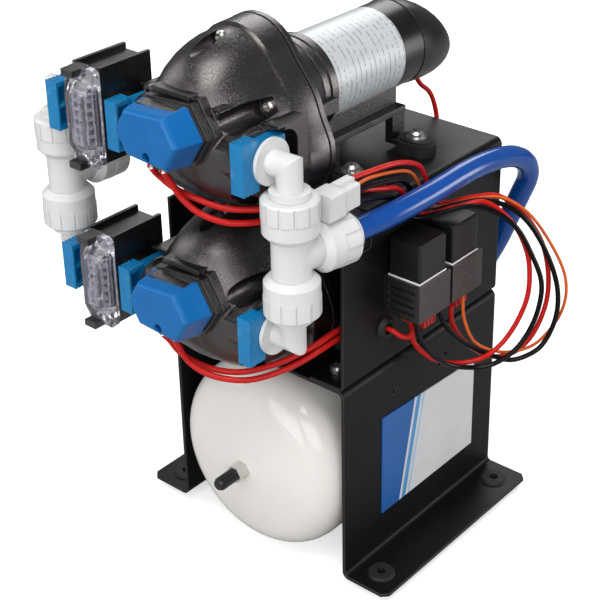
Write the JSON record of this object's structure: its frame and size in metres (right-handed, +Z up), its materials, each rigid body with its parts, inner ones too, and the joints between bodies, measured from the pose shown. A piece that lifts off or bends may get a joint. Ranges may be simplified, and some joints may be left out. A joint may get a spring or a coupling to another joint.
{
  "type": "water pump set",
  "caption": "Stacked diaphragm water pumps on a bent-sheet stand with a pressure tank below, push-fit tees and hose, slide clips, strainers, pressure switches, relays and wiring.",
  "frame": {"origin": "centre of the four foot holes, on the floor plane under the rubber feet", "axes": "+Z up; -Y toward the pump heads and switches (front); +X toward the outlet tee, relays and wiring loop"},
  "size_m": [0.2883, 0.2946, 0.3899],
  "materials": {
    "black_coat": "satin powder coat",
    "rubber": "matt",
    "zinc": "bright zinc plate",
    "steel": "machined",
    "panel_white": "satin film",
    "tank_white": "gloss enamel",
    "pump_plastic": "fine grain",
    "gloss_black": "gloss",
    "label_white": "satin",
    "clip_blue": "semi gloss",
    "clear_cover": "clear moulding",
    "fitting_white": "semi gloss",
    "lock_red": "semi gloss",
    "hose_blue": "gloss",
    "wire_red": "semi gloss",
    "wire_black": "semi gloss",
    "wire_orange": "semi gloss"
  },
  "bodies": {
    "stand": {"lower_stand": "black_coat", "upper_stand": "black_coat", "stand_feet": "rubber", "stand_screws": "zinc", "side_panel": "panel_white", "tank_front_shell": "tank_white", "tank_rear_shell": "tank_white", "tank_saddle": "pump_plastic", "tank_air_valve": "zinc", "tank_elbow": "fitting_white", "upper_head": "pump_plastic", "lower_head": "pump_plastic", "upper_rear_housing": "pump_plastic", "lower_rear_housing": "pump_plastic", "upper_motor_can": "label_white", "lower_motor_can": "label_white", "upper_end_cap": "gloss_black", "lower_end_cap": "gloss_black", "upper_cradle": "pump_plastic", "lower_cradle": "pump_plastic", "upper_switch_base": "pump_plastic", "lower_switch_base": "pump_plastic", "upper_switch_cover": "clip_blue", "lower_switch_cover": "clip_blue", "upper_strainer_body": "pump_plastic", "lower_strainer_body": "pump_plastic", "wobble_plates": "pump_plastic", "diaphragms": "rubber", "valve_plates": "fitting_white", "strainer_screens": "steel", "head_screws": "zinc", "mount_screws": "zinc", "mount_rubbers": "rubber", "port_elbows": "fitting_white", "outlet_tee": "fitting_white", "inlet_tee": "fitting_white", "collar_nuts": "fitting_white", "release_rings": "fitting_white", "relay_socket": "pump_plastic", "front_relay": "gloss_black", "rear_relay": "gloss_black", "relay_locks": "lock_red", "connector_plug": "fitting_white", "connector_socket": "fitting_white", "harness_bush": "rubber", "blue_hose": "hose_blue", "red_wires": "wire_red", "black_wires": "wire_black", "orange_wire": "wire_orange"},
    "upper_outlet_clip": {"upper_outlet_clip": "clip_blue"},
    "upper_inlet_clip": {"upper_inlet_clip": "clip_blue"},
    "upper_strainer_clip": {"upper_strainer_clip": "clip_blue"},
    "upper_strainer_cover": {"upper_strainer_cover": "clear_cover"},
    "lower_outlet_clip": {"lower_outlet_clip": "clip_blue"},
    "lower_inlet_clip": {"lower_inlet_clip": "clip_blue"},
    "lower_strainer_clip": {"lower_strainer_clip": "clip_blue"},
    "lower_strainer_cover": {"lower_strainer_cover": "clear_cover"},
    "tank_valve_cap": {"tank_valve_cap": "gloss_black"},
    "upper_rotor": {"upper_rotor": "steel"},
    "lower_rotor": {"lower_rotor": "steel"}
  },
  "joints": [
    {"name": "upper_outlet_clip_slide", "type": "slide", "parent": "stand", "child": "upper_outlet_clip", "axis": [0, -1, 0], "range_m": [0, 0.016]},
    {"name": "upper_inlet_clip_slide", "type": "slide", "parent": "stand", "child": "upper_inlet_clip", "axis": [0, -1, 0], "range_m": [0, 0.016]},
    {"name": "upper_strainer_clip_slide", "type": "slide", "parent": "stand", "child": "upper_strainer_clip", "axis": [0, -1, 0], "range_m": [0, 0.016]},
    {"name": "upper_strainer_cover_slide", "type": "slide", "parent": "stand", "child": "upper_strainer_cover", "axis": [0, -1, 0], "range_m": [0, 0.022]},
    {"name": "lower_outlet_clip_slide", "type": "slide", "parent": "stand", "child": "lower_outlet_clip", "axis": [0, -1, 0], "range_m": [0, 0.016]},
    {"name": "lower_inlet_clip_slide", "type": "slide", "parent": "stand", "child": "lower_inlet_clip", "axis": [0, -1, 0], "range_m": [0, 0.016]},
    {"name": "lower_strainer_clip_slide", "type": "slide", "parent": "stand", "child": "lower_strainer_clip", "axis": [0, -1, 0], "range_m": [0, 0.016]},
    {"name": "lower_strainer_cover_slide", "type": "slide", "parent": "stand", "child": "lower_strainer_cover", "axis": [0, -1, 0], "range_m": [0, 0.022]},
    {"name": "tank_valve_cap_slide", "type": "slide", "parent": "stand", "child": "tank_valve_cap", "axis": [0, -1, 0], "range_m": [0, 0.014]},
    {"name": "upper_rotor_spin", "type": "hinge", "parent": "stand", "child": "upper_rotor", "pos_m": [0, 0, 0.334], "axis": [0, 1, 0], "continuous": true},
    {"name": "lower_rotor_spin", "type": "hinge", "parent": "stand", "child": "lower_rotor", "pos_m": [0, 0, 0.221], "axis": [0, 1, 0], "continuous": true}
  ]
}
